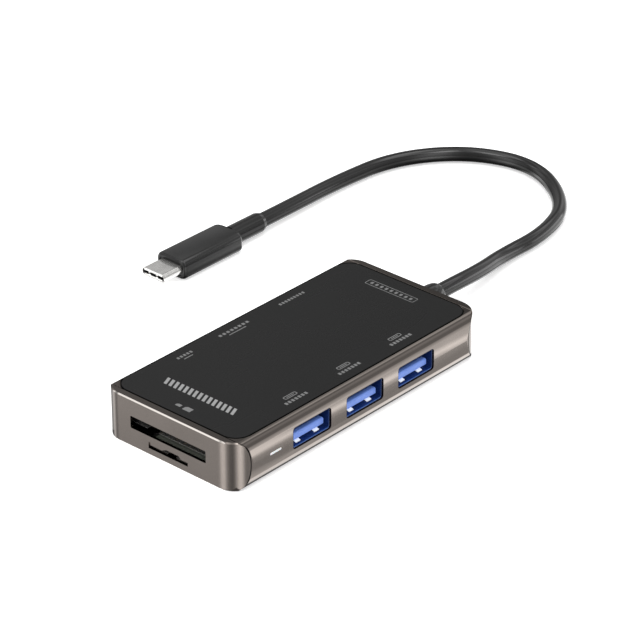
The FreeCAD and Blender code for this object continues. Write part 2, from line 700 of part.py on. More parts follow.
def cable_tube():
    """The cable's sheath from just inside the rear cap to inside the plug's strain relief."""
    path, radii = arc_path(CABLE_ROUTE)
    ring = Part.Wire(Part.makeCircle(CABLE_RADIUS, Vector(*CABLE_ROUTE[0]), Vector(1, 0, 0)))
    tube = path.makePipeShell([ring], True, False)
    expected = math.pi * CABLE_RADIUS ** 2 * path.Length
    print("cable bend radii", radii)
    print("cable length", round(path.Length, 1), "volume ratio", round(tube.Volume / expected, 4))
    return tube


def hub_strain_relief():
    """The boot in the rear cap: a flange inside, a neck through the wall and a rounded sleeve outside."""
    bore = CABLE_RADIUS + BORE_CLEARANCE
    wall_in = LENGTH / 2 - END_WALL
    wall_out = LENGTH / 2
    flange_back = wall_in - 1.5
    inner = [(flange_back, bore), (flange_back, RELIEF_FLANGE)]
    inner += [(wall_in, RELIEF_FLANGE), (wall_in, RELIEF_NECK)]
    shoulder = wall_out + 6.2
    dome_long = 3.4
    dome_high = 0.85
    outer = [(wall_out, RELIEF_NECK), (wall_out, RELIEF_ROOT), (shoulder, RELIEF_TIP + dome_high)]
    for step in range(1, 7):
        angle = math.radians(15 * step)
        outer.append((shoulder + dome_long * math.sin(angle), RELIEF_TIP + dome_high * math.cos(angle)))
    return turned(inner + outer + [(shoulder + dome_long, bore)], 0, EXIT_Z)


def hub_wires():
    """The cable's conductors, which turn up inside the body to the underside of the main board."""
    start = CABLE_ROUTE[0][0]
    wires = []
    for number in range(5):
        y = (number - 2) * 0.8
        end = 39.0 - 0.4 * (number % 2)
        run = rod((start, y, EXIT_Z), 0.3, end - start, "x")
        rise = rod((end, y, EXIT_Z), 0.3, BOARD_LOW - EXIT_Z, "z")
        elbow = Part.makeSphere(0.3, Vector(end, y, EXIT_Z))
        wires.append(run.fuse(rise).fuse(elbow).removeSplitter())
    return group(wires)


# ---- plug ----
def plug_oval(size, x):
    """A bar with round ends along the plug's axis."""
    return round_bar((PLUG_Y, PLUG_Z), size, x, "x")


def plug_shell():
    """The drawn steel shell that goes into a computer."""
    shell = plug_oval(PLUG_SHELL, (PLUG_TIP, 27.0))
    rim = [edge for edge in shell.Edges if edge.BoundBox.XMax < PLUG_TIP + 0.001]
    shell = shell.makeChamfer(0.12, rim)
    return shell.cut(plug_oval((7.85, 2.0), (PLUG_TIP - 1, 28.0)))


def plug_insulator():
    """The dark moulding inside the shell, with a slot for the socket's tongue."""
    moulding = plug_oval((7.8, 1.95), (PLUG_TIP + 0.25, 26.6))
    return moulding.cut(soft_block((PLUG_TIP - 1, 23.0), span(PLUG_Y, 6.9), span(PLUG_Z, 0.9), 0.2, "x"))


def plug_contacts():
    """Contacts along the top and bottom of the plug's slot."""
    strips = []
    for number in range(12):
        y = PLUG_Y + (number - 5.5) * 0.5
        for side in (-1, 1):
            z = sorted((PLUG_Z + side * 0.38, PLUG_Z + side * 0.45))
            strips.append(block((PLUG_TIP + 1.2, 22.9), span(y, 0.25), z))
    return group(strips)


def plug_can():
    """The folded steel can around the plug's own little board."""
    can = soft_block(CAN_X, span(PLUG_Y, PLUG_CAN[0]), span(PLUG_Z, PLUG_CAN[1]), 0.5, "x")
    inner = (CAN_X[0] - 1, CAN_X[1] - 0.25)
    hollow = soft_block(inner, span(PLUG_Y, PLUG_CAN[0] - 0.5), span(PLUG_Z, PLUG_CAN[1] - 0.5), 0.3, "x")
    return can.cut(hollow).cut(rod((CAN_X[1] - 1, PLUG_Y, PLUG_Z), 1.6, 2, "x"))


def plug_board():
    """The plug's little board, between the shell and the cable."""
    return block((27.1, 38.6), span(PLUG_Y, 7.8), span(PLUG_Z, 0.8))


def plug_wires():
    """Conductors from the cable to the plug's board."""
    return group([rod((38.7, PLUG_Y + (number - 1) * 0.9, PLUG_Z), 0.4, 9.25, "x") for number in range(3)])


def plug_overmould():
    """The soft-edged grip, moulded round the can and the end of the strain relief."""
    across = span(PLUG_Y, OVERMOULD_WIDTH)
    up = span(PLUG_Z, OVERMOULD_HEIGHT)
    grip = soft_block(OVERMOULD, across, up, 1.9, "x")
    ends = [edge for edge in grip.Edges if edge.BoundBox.XLength < 0.001]
    grip = grip.makeFillet(0.6, ends)
    hollow = (CAN_X[0] - 0.05, CAN_X[1] + 0.05)
    grip = grip.cut(soft_block(hollow, span(PLUG_Y, 9.0), span(PLUG_Z, 4.0), 0.5, "x"))
    grip = grip.cut(plug_oval((8.35, 2.5), (OVERMOULD[0] - 1, CAN_X[0])))
    return grip.cut(rod((40.0, PLUG_Y, PLUG_Z), 2.5, 10, "x"))


def plug_strain_relief():
    """The sleeve behind the grip, which holds the cable's end."""
    bore = CABLE_RADIUS + BORE_CLEARANCE
    root = OVERMOULD[1]
    end = PLUG_RELIEF_END
    tube = [(41.4, bore), (41.4, 2.45), (root, 2.45), (root, 2.8), (end - 1.2, 2.8), (end, 2.45), (end, bore)]
    return turned(tube, PLUG_Y, PLUG_Z)


# ---- write every node ----
sleeve, front_cap, rear_cap = body_parts()
save("housing_sleeve", sleeve)
save("front_end_cap", front_cap)
save("rear_end_cap", rear_cap)
save("top_panel", panel_sheet(0, (PANEL_SEAT + ADHESIVE_THICK, HEIGHT)))
save("panel_adhesive", panel_sheet(0.6, (PANEL_SEAT, PANEL_SEAT + ADHESIVE_THICK)))
save("light_pipe", light_pipe())
save("status_led", status_led())

for index, port_x in enumerate(USB_A_X, start=1):
    save("usb_a_shell_" + str(index), usb_a_shell(port_x))
    save("usb_a_insulator_" + str(index), usb_a_insulator(port_x))
    save("usb_a_contacts_" + str(index), usb_a_contacts(port_x))

ASSEMBLIES = {
    "power_port": (("shell", "insulator", "contacts"), power_port()),
    "video_port": (("shell", "insulator", "contacts"), video_port()),
    "lan_port": (("shield", "housing", "contacts"), lan_port()),
    "card_socket": (("base", "cover", "contacts"), card_socket()),
    "micro_socket": (("base", "cover", "contacts"), micro_socket()),
}
for assembly, (names, shapes) in ASSEMBLIES.items():
    for name, shape in zip(names, shapes):
        save(assembly + "_" + name, shape)

save("main_board", main_board())
save("card_board", card_board())
save("board_link_pins", board_link_pins())
save("board_screws", board_screws())
for node, (chip_x, chip_y, chip_size) in CHIPS.items():
    save(node, chip(chip_x, chip_y, chip_size))
save("thermal_pads", thermal_pads())
save("card_reader_chip", block(span(-33.0, 4.0), span(10.5, 4.0), (CARD_BOARD_LOW - 0.8, CARD_BOARD_LOW)))
save("network_transformer", below_board([(-3.7, -1.8)], (15.0, 7.0, 4.2)))
save("power_inductors", below_board([(12.0, 1.0), (26.0, 1.0)], (5.0, 5.0, 2.2)))
save("crystals", below_board([(5.5, 3.5), (19.0, 3.5), (-24.5, -4.0)], (3.2, 2.5, 0.8)))
save("capacitors", capacitors())
save("insulating_sheet", soft_block(span(0, 80.0), span(0, 36.0), (FLOOR, FLOOR + 0.1), 2.0, "z"))

save("cable_sheath", cable_tube())
save("hub_strain_relief", hub_strain_relief())
save("hub_wires", hub_wires())
save("plug_strain_relief", plug_strain_relief())
save("plug_overmould", plug_overmould())
save("plug_shell", plug_shell())
save("plug_insulator", plug_insulator())
save("plug_contacts", plug_contacts())
save("plug_can", plug_can())
save("plug_board", plug_board())
save("plug_wires", plug_wires())
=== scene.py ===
import json
import math

import bmesh
import bpy
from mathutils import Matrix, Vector


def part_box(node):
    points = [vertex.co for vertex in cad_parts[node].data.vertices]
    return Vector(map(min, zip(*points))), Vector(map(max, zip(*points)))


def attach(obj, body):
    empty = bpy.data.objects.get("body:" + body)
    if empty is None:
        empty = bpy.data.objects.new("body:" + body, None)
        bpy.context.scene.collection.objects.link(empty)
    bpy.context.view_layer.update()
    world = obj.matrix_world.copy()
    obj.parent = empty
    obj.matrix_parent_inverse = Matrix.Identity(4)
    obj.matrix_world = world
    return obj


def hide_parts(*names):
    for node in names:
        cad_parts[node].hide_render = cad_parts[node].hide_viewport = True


# The looks of a pocket USB hub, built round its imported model. +X runs to the cable end, -Y is the side
# with the USB-A ports, +Z is up. Sizes are in metres, where MM makes millimetres of them. The cable's
# route, the plug and the printed marks are laid out in plain millimetres.

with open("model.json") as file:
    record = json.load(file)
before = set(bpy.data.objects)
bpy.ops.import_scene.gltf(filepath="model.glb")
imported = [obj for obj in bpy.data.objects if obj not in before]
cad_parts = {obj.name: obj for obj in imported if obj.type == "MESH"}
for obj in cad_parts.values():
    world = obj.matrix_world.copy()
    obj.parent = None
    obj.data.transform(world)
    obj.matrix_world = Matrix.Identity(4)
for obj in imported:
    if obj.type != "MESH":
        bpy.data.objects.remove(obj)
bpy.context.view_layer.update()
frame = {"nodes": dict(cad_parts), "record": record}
MM = 0.001
BODY = "root"

SLEEVE_LOW, SLEEVE_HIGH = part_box("housing_sleeve")
GRIP_LOW, GRIP_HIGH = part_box("plug_overmould")
SHELL_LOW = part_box("plug_shell")[0]
TOP = SLEEVE_HIGH.z
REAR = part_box("rear_end_cap")[1].x


# ---- camera ----
AZIMUTH = math.radians(-48.292)
ELEVATION = math.radians(28.897)
DISTANCE = 757.26 * MM
ASIDE = 5.99 * MM                # how far the camera stands to the right of the object's origin
ABOVE = 17.95 * MM               # and how far above it, across the line of sight
LENS = 172.8


def make_camera():
    """A camera with a long lens, which looks down at the front end and the USB-A side."""
    flat = math.cos(ELEVATION)
    back = Vector((math.sin(AZIMUTH) * flat, -math.cos(AZIMUTH) * flat, math.sin(ELEVATION)))
    right = Vector((math.cos(AZIMUTH), math.sin(AZIMUTH), 0))
    up = back.cross(right)
    data = bpy.data.cameras.new("camera")
    data.sensor_width = 36
    data.lens = LENS
    data.clip_start = 0.01
    camera = bpy.data.objects.new("camera", data)
    bpy.context.scene.collection.objects.link(camera)
    camera.location = back * DISTANCE + right * ASIDE + up * ABOVE
    camera.rotation_mode = "QUATERNION"
    camera.rotation_quaternion = (-back).to_track_quat("-Z", "Y")
    bpy.context.scene.camera = camera


# ---- cable ----
CABLE_DIAMETER = 4.2 * MM
CABLE_EXIT = 6.1                 # height of the cable's middle at the rear cap, in millimetres
CABLE_FLOOR = 2.15               # and where it lies on the floor
PLUG_Y = 65.7
PLUG_Z = 2.85
CABLE_ROUTE = [
    (43.0, 0.0, CABLE_EXIT),
    (58.0, 0.0, CABLE_EXIT),
    (73.5, 1.5, 4.3),
    (87.0, 5.0, CABLE_FLOOR),
    (104.5, 4.5, CABLE_FLOOR),
    (122.0, 10.5, CABLE_FLOOR),
    (136.5, 31.0, CABLE_FLOOR),
    (131.0, 51.5, CABLE_FLOOR),
    (113.5, 65.0, CABLE_FLOOR),
    (91.0, 67.0, CABLE_FLOOR),
    (68.0, PLUG_Y, PLUG_Z),
    (48.0, PLUG_Y, PLUG_Z),
]


def make_cable():
    """The cable, one smooth curve along its route."""
    curve = bpy.data.curves.new("cable", "CURVE")
    curve.dimensions = "3D"
    curve.bevel_depth = CABLE_DIAMETER / 2
    curve.bevel_resolution = 10
    curve.resolution_u = 24
    curve.use_fill_caps = True
    spline = curve.splines.new("NURBS")
    spline.points.add(len(CABLE_ROUTE) - 1)
    for point, (x, y, z) in zip(spline.points, CABLE_ROUTE):
        point.co = (x * MM, y * MM, z * MM, 1)
    spline.order_u = 3
    spline.use_endpoint_u = True
    cable = bpy.data.objects.new("cable", curve)
    bpy.context.scene.collection.objects.link(cable)
    return cable


# ---- materials ----
PORT_PITCH = 19.1 * MM
PORT_MIDDLE = 0.5 * MM           # x of the middle USB-A port
PORT_MOUTH = SLEEVE_LOW.y + 0.3 * MM
TAB_ACROSS = (2.4 * MM, 4.2 * MM)        # a port's lower spring tabs, from its middle
TAB_DEPTH = (1.0 * MM, 3.4 * MM)         # and back from its mouth
TAB_TOP = 5.0 * MM
TONGUE_HALF = 5.7 * MM                   # half the width inside the liner, round the tongue
TONGUE_HEIGHTS = (4.9 * MM, 7.1 * MM)
TONGUE_SHADE = (1.45 * MM, 3.2 * MM)     # from its front, painted shade darkens it between these depths
SHELL_RIM = (0.06 * MM, 0.12 * MM)       # depths where the painted shade on a port's shell rim and the painted highlight on its liner's rim fade
LINER_RIM = (0.16 * MM, 0.28 * MM)
LIP_TOP = 4.4 * MM                       # the painted highlight on the liner's rim is full below this height
PANEL_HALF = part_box("top_panel")[1]
PANEL_CORNER = 4.5 * MM
PANEL_EDGE = 0.22 * MM           # width of the panel's blackened edge
CHAMFER = 0.4 * MM               # how far the bare metal reaches in from the two ends
SEAM_CENTRE = 43.9 * MM          # the seams are halves of ellipses, as seen from the side
SEAM_REACH = 4.0 * MM
SEAM_RISE = 6.8 * MM
SEAM_HALF = 0.16 * MM
SEAM_SEEN = 0.8                  # the part of their rise where painted shade shows them as a dark line


class Nodes:
    """Short names for adding shader nodes to a tree."""

    def __init__(self, tree):
        self.tree = tree

    def node(self, kind, inputs=None, **settings):
        """A new node. Inputs may be values or the outputs of other nodes."""
        made = self.tree.nodes.new("ShaderNode" + kind)
        for key, value in settings.items():
            setattr(made, key, value)
        for key, value in (inputs or {}).items():
            self.put(made.inputs[key], value)
        return made

    def put(self, socket, value):
        """Links a socket to an output, or sets its value."""
        if isinstance(value, bpy.types.NodeSocket):
            self.tree.links.new(value, socket)
        else:
            socket.default_value = value

    def range(self, value, low, high, start=0.3, end=0.7):
        """Maps start..end of a value to low..high, clamped."""
        inputs = {"Value": value, "From Min": start, "From Max": end, "To Min": low, "To Max": high}
        return self.node("MapRange", inputs).outputs["Result"]

    def maths(self, kind, *values):
        """The result of a Math node on one, two or three values."""
        return self.node("Math", dict(enumerate(values)), operation=kind).outputs[0]

    def plus(self, first, second):
        """Adds two values."""
        return self.maths("ADD", first, second)

    def minus(self, first, second):
        """Takes the second value from the first."""
        return self.maths("SUBTRACT", first, second)

    def times(self, first, second):
        """Multiplies two values."""
        return self.maths("MULTIPLY", first, second)

    def over(self, first, second):
        """Divides the first value by the second."""
        return self.maths("DIVIDE", first, second)

    def unsigned(self, value):
        """A value without its sign."""
        return self.maths("ABSOLUTE", value)

    def parts(self, vector):
        """The X, Y and Z of a vector."""
        return self.node("SeparateXYZ", {"Vector": vector}).outputs

    def mix(self, amount, first, second):
        """A mix of two colours."""
        made = self.node("Mix", data_type="RGBA")
        self.put(made.inputs["Factor"], amount)
        for socket, value in (("A", first), ("B", second)):
            colour = (*value, 1) if isinstance(value, tuple) else value
            self.put([one for one in made.inputs if one.name == socket and one.type == "RGBA"][0], colour)
        return [one for one in made.outputs if one.type == "RGBA"][0]

    def ramp(self, value, stops, start, end):
        """A grey level that follows (place, level) stops, for a value that runs from start to end."""
        made = self.node("ValToRGB", {"Fac": self.range(value, 0, 1, start, end)})
        elements = made.color_ramp.elements
        elements.remove(elements[1])
        for index, (place, level) in enumerate(stops):
            where = (place - start) / (end - start)
            element = elements[0] if index == 0 else elements.new(where)
            element.position = where
            element.color = (level, level, level, 1)
        return made.outputs["Color"]


class Paint(Nodes):
    """A material under construction: a Principled shader and short names for adding nodes to it."""

    def __init__(self, name, **values):
        self.material = bpy.data.materials.new(name)
        self.material.use_nodes = True
        super().__init__(self.material.node_tree)
        self.shader = self.tree.nodes["Principled BSDF"]
        coordinates = self.node("TexCoord").outputs
        self.place = coordinates["Object"]
        self.facing = coordinates["Normal"]
        for key, value in values.items():
            self.set(key.replace("_", " ").title().replace("Ior", "IOR"), value)

    def set(self, name, value):
        """Sets or links one of the shader's own inputs."""
        if isinstance(value, tuple) and len(value) == 3 and "Color" in name:
            value = (*value, 1)
        self.put(self.shader.inputs[name], value)

    def stretched(self, scale):
        """Object coordinates with a scale of their own along each axis."""
        return self.node("Mapping", {"Vector": self.place, "Scale": scale}).outputs["Vector"]

    def noise(self, scale, detail=3.0, where=None):
        """Noise from 0 to 1; scale is the number of its cells in a metre."""
        inputs = {"Vector": where or self.place, "Scale": scale, "Detail": detail}
        return self.node("TexNoise", inputs).outputs["Fac"]

    def bump(self, height, depth, strength):
        """A bump of the given depth, in metres, from a height between 0 and 1."""
        inputs = {"Height": height, "Distance": depth, "Strength": strength}
        self.set("Normal", self.node("Bump", inputs).outputs["Normal"])

    def dim_below(self, level):
        """Sheen of a given level, which fades on surfaces that face the floor: painted shade."""
        upward = self.parts(self.facing)["Z"]
        self.set("Specular IOR Level", self.range(upward, 0.1 * level, level, -0.15, 0.25))

    def within(self, value, low, high, soft):
        """1 where a value lies between two limits, 0 outside, with soft edges."""
        rise = self.range(value, 0, 1, low, low + soft)
        fall = self.range(value, 1, 0, high - soft, high)
        return self.times(rise, fall)

    def port_place(self):
        """Where a point lies in its USB-A port: across from the middle, back from the mouth, and up."""
        spot = self.parts(self.place)
        half = PORT_PITCH / 2
        shifted = self.minus(spot["X"], PORT_MIDDLE)
        wrapped = self.maths("WRAP", shifted, half, -half)
        return self.unsigned(wrapped), self.minus(spot["Y"], PORT_MOUTH), spot["Z"]


def painted_seam_shade(paint):
    """1 along the seams between the end caps and the sleeve, where painted shade makes the metal dark."""
    spot = paint.parts(paint.place)
    reach = paint.over(paint.minus(SEAM_CENTRE, paint.unsigned(spot["X"])), SEAM_REACH)
    rise = paint.over(paint.minus(spot["Z"], TOP / 2), SEAM_RISE)
    squares = paint.plus(paint.times(reach, reach), paint.times(rise, rise))
    from_oval = paint.minus(paint.maths("POWER", squares, 0.5), 1.0)
    half = SEAM_HALF / SEAM_REACH
    on_side = paint.within(rise, -SEAM_SEEN, SEAM_SEEN, 0.1)
    return paint.times(paint.within(from_oval, -half, half, half / 4), on_side)


def anodised_aluminium():
    """Bead-blasted, anodised aluminium: bare at the chamfers of the two ends, with painted shade along the
    seams.
    """
    paint = Paint("anodised_aluminium", metallic=1.0)
    facing = paint.parts(paint.facing)
    tilt = paint.unsigned(facing["Z"])
    ahead = paint.unsigned(facing["X"])
    sloping = paint.times(paint.range(tilt, 0, 1, 0.55, 0.62), paint.range(ahead, 0, 1, 0.3, 0.4))
    along = paint.unsigned(paint.parts(paint.place)["X"])
    chamfer = paint.times(sloping, paint.range(along, 0, 1, REAR - CHAMFER - 0.05 * MM, REAR - CHAMFER))
    cloud = paint.noise(90.0, 2.0)
    grain = paint.noise(5200.0, 2.0)
    plain = paint.mix(paint.range(cloud, 0, 1), (0.196, 0.172, 0.156), (0.214, 0.187, 0.170))
    speckled = paint.mix(paint.range(grain, 0, 0.08), plain, (0.36, 0.33, 0.31))
    bright = paint.mix(chamfer, speckled, (0.88, 0.82, 0.77))
    # Painted shade: the metal is near black along the seams.
    paint.set("Base Color", paint.mix(painted_seam_shade(paint), bright, (0.012, 0.011, 0.010)))
    paint.set("Roughness", paint.range(grain, 0.06, 0.10))
    paint.bump(grain, 0.0015 * MM, 0.25)
    return paint.material


def satin_panel():
    """Satin black sheet with a very fine texture, faint wipe marks and a blackened edge."""
    paint = Paint("satin_panel")
    grain = paint.noise(6500.0, 2.0)
    wipe = paint.noise(60.0, 4.0, paint.stretched((0.35, 1.0, 1.0)))
    spot = paint.parts(paint.place)
    beyond = []
    for axis, half in (("X", PANEL_HALF.x), ("Y", PANEL_HALF.y)):
        reach = paint.unsigned(spot[axis])
        beyond.append(paint.maths("MAXIMUM", paint.minus(reach, half - PANEL_CORNER), 0.0))
    squares = [paint.times(one, one) for one in beyond]
    from_corner = paint.maths("POWER", paint.plus(*squares), 0.5)
    reached = PANEL_CORNER - PANEL_EDGE
    edge = paint.range(from_corner, 0, 1, reached - 0.08 * MM, reached)
    plain = paint.mix(paint.range(grain, 0, 1), (0.0125,) * 3, (0.0155,) * 3)
    paint.set("Base Color", paint.mix(edge, plain, (0.001,) * 3))
    paint.set("Specular IOR Level", paint.range(edge, 0.12, 0.02, 0, 1))
    paint.set("Roughness", paint.range(wipe, 0.24, 0.30))
    paint.bump(grain, 0.0015 * MM, 0.4)
    return paint.material


def plated_steel():
    """Satin nickel-plated steel with faint rolling marks; a USB-A port's rim carries painted shade, its tabs
    a painted highlight and glow.
    """
    paint = Paint("nickel_steel")
    rolled = paint.noise(1500.0, 3.0, paint.stretched((0.4, 1.0, 1.0)))
    tarnish = paint.noise(500.0, 4.0)
    across, depth, height = paint.port_place()
    # Painted highlight and glow: the lower spring tabs are pale, not metallic, and give off a little light.
    bent = paint.within(depth, *TAB_DEPTH, 0.1 * MM)
    beside = paint.within(across, *TAB_ACROSS, 0.02 * MM)
    below = paint.range(height, 1, 0, TAB_TOP, TAB_TOP + 0.2 * MM)
    tab = paint.times(paint.times(bent, beside), below)
    # Painted shade: the shell's rim at a port's mouth is near black.
    rim = paint.range(depth, 1, 0, *SHELL_RIM)
    plain = paint.mix(paint.range(tarnish, 0, 1), (0.72, 0.71, 0.69), (0.82, 0.81, 0.79))
    pale = paint.mix(tab, plain, (0.95, 0.96, 1.0))
    paint.set("Base Color", paint.mix(rim, pale, (0.004, 0.008, 0.03)))
    paint.set("Emission Color", (0.85, 0.93, 1.0))
    paint.set("Emission Strength", paint.times(tab, 0.4))
    paint.set("Metallic", paint.range(tab, 0.85, 0, 0, 1))
    paint.set("Roughness", paint.range(rolled, 0.14, 0.22))
    paint.bump(rolled, 0.001 * MM, 0.2)
    return paint.material


def moulded(name, dark, light, rough, coarse=2600.0, depth=0.006):
    """Injection-moulded plastic or rubber with a fine eroded texture, depth in millimetres."""
    paint = Paint(name)
    grain = paint.noise(coarse, 3.0)
    cloud = paint.noise(140.0, 2.0)
    mixed = paint.plus(paint.times(grain, 0.6), paint.times(cloud, 0.4))
    paint.set("Base Color", paint.mix(paint.range(mixed, 0, 1, 0.35, 0.65), dark, light))
    paint.set("Roughness", paint.range(grain, rough - 0.05, rough + 0.05))
    # Painted shade: less sheen on surfaces that face the floor.
    paint.dim_below(0.5)
    paint.bump(grain, depth * MM, 0.4)
    return paint.material


def gold_contacts():
    """Gold plating with slight variation from wear."""
    paint = Paint("gold_contacts", metallic=1.0)
    worn = paint.noise(1500.0, 4.0)
    paint.set("Base Color", paint.mix(paint.range(worn, 0, 1), (0.86, 0.60, 0.24), (0.70, 0.52, 0.30)))
    paint.set("Roughness", paint.range(worn, 0.18, 0.34))
    paint.bump(worn, 0.002 * MM, 0.3)
    return paint.material


def circuit_board():
    """Dark grey-green solder mask over copper tracks, with pale pads."""
    paint = Paint("circuit_board", coat_weight=0.2)
    bricks = {"Vector": paint.place, "Scale": 260.0, "Mortar Size": 0.03}
    tracks = paint.node("TexBrick", bricks).outputs["Fac"]
    holes = paint.node("TexVoronoi", {"Vector": paint.place, "Scale": 420.0}).outputs["Distance"]
    mask = paint.mix(tracks, (0.085, 0.094, 0.078), (0.115, 0.124, 0.100))
    paint.set("Base Color", paint.mix(paint.range(holes, 1, 0, 0.04, 0.07), mask, (0.40, 0.34, 0.22)))
    paint.set("Roughness", paint.range(paint.noise(900.0), 0.28, 0.42))
    paint.bump(tracks, 0.01 * MM, 0.5)
    return paint.material


def usb_plastic():
    """Blue moulding of a USB-A port: a liner painted navy as shade, with a lit lip, round a glowing tongue
    with painted shade towards the back.
    """
    paint = Paint("blue_plastic")
    across, depth, height = paint.port_place()
    grain = paint.noise(2600.0, 3.0)
    between = paint.range(across, 1, 0, TONGUE_HALF, TONGUE_HALF + 0.1 * MM)
    inner = paint.times(between, paint.within(height, *TONGUE_HEIGHTS, 0.1 * MM))
    # Painted shade: the tongue darkens from its front towards the back.
    near = paint.range(depth, 1, 0, *TONGUE_SHADE)
    # Painted highlight: the liner's front lip is pale, most of all low down.
    rim = paint.range(depth, 1, 0, *LINER_RIM)
    lip = paint.times(rim, paint.range(height, 1, 0.2, LIP_TOP, LIP_TOP + 0.2 * MM))
    # The liner is painted navy, far darker than the tongue, as shade inside the port.
    liner = paint.mix(lip, (0.003, 0.022, 0.12), (0.07, 0.17, 0.52))
    tongue = paint.mix(near, (0.005, 0.013, 0.07), (0.22, 0.37, 1.0))
    colour = paint.mix(inner, liner, tongue)
    paint.set("Base Color", paint.mix(paint.range(grain, 0, 0.08), colour, (0.2, 0.3, 0.8)))
    # Painted glow: the tongue's front gives off a little light.
    paint.set("Emission Color", (0.2, 0.4, 1.0))
    paint.set("Emission Strength", paint.times(paint.times(inner, near), 0.15))
    paint.set("Specular IOR Level", paint.range(inner, 0.12, 0.5, 0, 1))
    paint.set("Roughness", paint.range(grain, 0.26, 0.36))
    paint.bump(grain, 0.003 * MM, 0.3)
    return paint.material


def drawn_can():
    """Bright drawn aluminium of capacitor cans and crystals."""
    paint = Paint("can_aluminium", metallic=1.0)
    drawn = paint.noise(700.0, 3.0, paint.stretched((6.0, 6.0, 0.5)))
    paint.set("Base Color", paint.mix(paint.range(drawn, 0, 1), (0.66, 0.66, 0.67), (0.80, 0.80, 0.80)))
    paint.set("Roughness", paint.range(drawn, 0.2, 0.36))
    return paint.material


def cable_jacket():
    """Smooth extruded jacket with a faint cloudy tone and a fine grain."""
    paint = Paint("cable_jacket")
    # Painted shade: less sheen on surfaces that face the floor.
    paint.dim_below(0.5)
    grain = paint.noise(3000.0, 2.0)
    cloud = paint.noise(45.0, 3.0)
    paint.set("Base Color", paint.mix(paint.range(cloud, 0, 1), (0.011,) * 3, (0.015,) * 3))
    paint.set("Roughness", paint.range(grain, 0.11, 0.17))
    paint.bump(grain, 0.0015 * MM, 0.25)
    return paint.material


def light_plastic():
    """Clear white diffuser, lit from inside."""
    paint = Paint("light_plastic", roughness=0.3, subsurface_weight=0.3, subsurface_scale=0.5 * MM)
    cloud = paint.noise(1200.0, 2.0)
    paint.set("Base Color", paint.mix(paint.range(cloud, 0, 1), (0.72, 0.72, 0.72), (0.80, 0.80, 0.80)))
    paint.set("Emission Color", (1.0, 1.0, 1.0))
    paint.set("Emission Strength", paint.range(cloud, 0.30, 0.40))
    return paint.material


def wire_insulation():
    """Thin coloured insulation; each wire takes its colour from its place."""
    paint = Paint("wire_insulation", roughness=0.35)
    across = paint.noise(900.0, 0.0, paint.stretched((0.02, 1.0, 0.02)))
    choice = paint.range(across, 0, 1, 0.4, 0.6)
    paint.set("Base Color", paint.mix(choice, (0.55, 0.03, 0.02), (0.05, 0.05, 0.4)))
    return paint.material


def make_materials():
    """Every material of the record, by slot, and those of the extra pieces."""
    return {
        "anodised_aluminium": anodised_aluminium(),
        "satin_panel": satin_panel(),
        "nickel_steel": plated_steel(),
        "gold_contacts": gold_contacts(),
        "circuit_board": circuit_board(),
        "can_aluminium": drawn_can(),
        "cable_jacket": cable_jacket(),
        "light_plastic": light_plastic(),
        "wire_insulation": wire_insulation(),
        "adhesive": moulded("adhesive", (0.015, 0.015, 0.015), (0.02, 0.02, 0.02), 0.7),
        "blue_plastic": usb_plastic(),
        "black_plastic": moulded("black_plastic", (0.010, 0.010, 0.011), (0.018, 0.018, 0.019), 0.45),
        "chip_epoxy": moulded("chip_epoxy", (0.014, 0.014, 0.015), (0.03, 0.03, 0.032), 0.6, 5000.0),
        "thermal_silicone": moulded("thermal_silicone", (0.30, 0.34, 0.42), (0.36, 0.40, 0.48), 0.8),
        "grip_plastic": moulded("grip_plastic", (0.014,) * 3, (0.018,) * 3, 0.16, 3800.0, 0.0008),
        "print_ink": moulded("print_ink", (0.24, 0.24, 0.24), (0.30, 0.30, 0.30), 0.5, 4000.0, 0.002),
        "faint_ink": moulded("faint_ink", (0.13, 0.13, 0.13), (0.17, 0.17, 0.17), 0.5, 4000.0, 0.002),
    }


MATERIALS = make_materials()


def paint_frame():
    """Gives every CAD node the finished material of its slot."""
    slots = {part["node"]: part["material_slot"] for part in frame["record"]["subparts"]}
    for name, node in frame["nodes"].items():
        material = MATERIALS[slots[name]]
        if not node.data.materials:
            node.data.materials.append(None)
        for holder in node.material_slots:
            holder.material = material


# ---- mesh helpers ----
def new_piece(name, mesh, material):
    """Links a finished mesh as a piece of the object, with its material."""
    mesh.materials.append(MATERIALS[material])
    piece = bpy.data.objects.new(name, mesh)
    bpy.context.scene.collection.objects.link(piece)
    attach(piece, BODY)
    return piece


def mesh_from(build):
    """A mesh filled in by a function that works on a bmesh."""
    work = bmesh.new()
    build(work)
    bmesh.ops.recalc_face_normals(work, faces=work.faces)
    mesh = bpy.data.meshes.new("mesh")
    work.to_mesh(mesh)
    work.free()
    return mesh


def soften(mesh):
    """Smooth shading, with creases only where faces meet at a sharp angle."""
    limit = math.radians(38)
    work = bmesh.new()
    work.from_mesh(mesh)
    for face in work.faces:
        face.smooth = True
    for edge in work.edges:
        edge.smooth = edge.calc_face_angle(0.0) < limit
    work.to_mesh(mesh)
    work.free()


def rounded(width, height, radius, steps=5):
    """The outline of a rectangle with round corners, about the origin, anticlockwise."""
    points = []
    for quarter in range(4):
        middle = math.radians(45 + 90 * quarter)
        centre_x = math.copysign(width / 2 - radius, math.cos(middle))
        centre_y = math.copysign(height / 2 - radius, math.sin(middle))
        for step in range(steps + 1):
            angle = math.radians(90 * quarter + 90 * step / steps)
            points.append((centre_x + radius * math.cos(angle), centre_y + radius * math.sin(angle)))
    return points


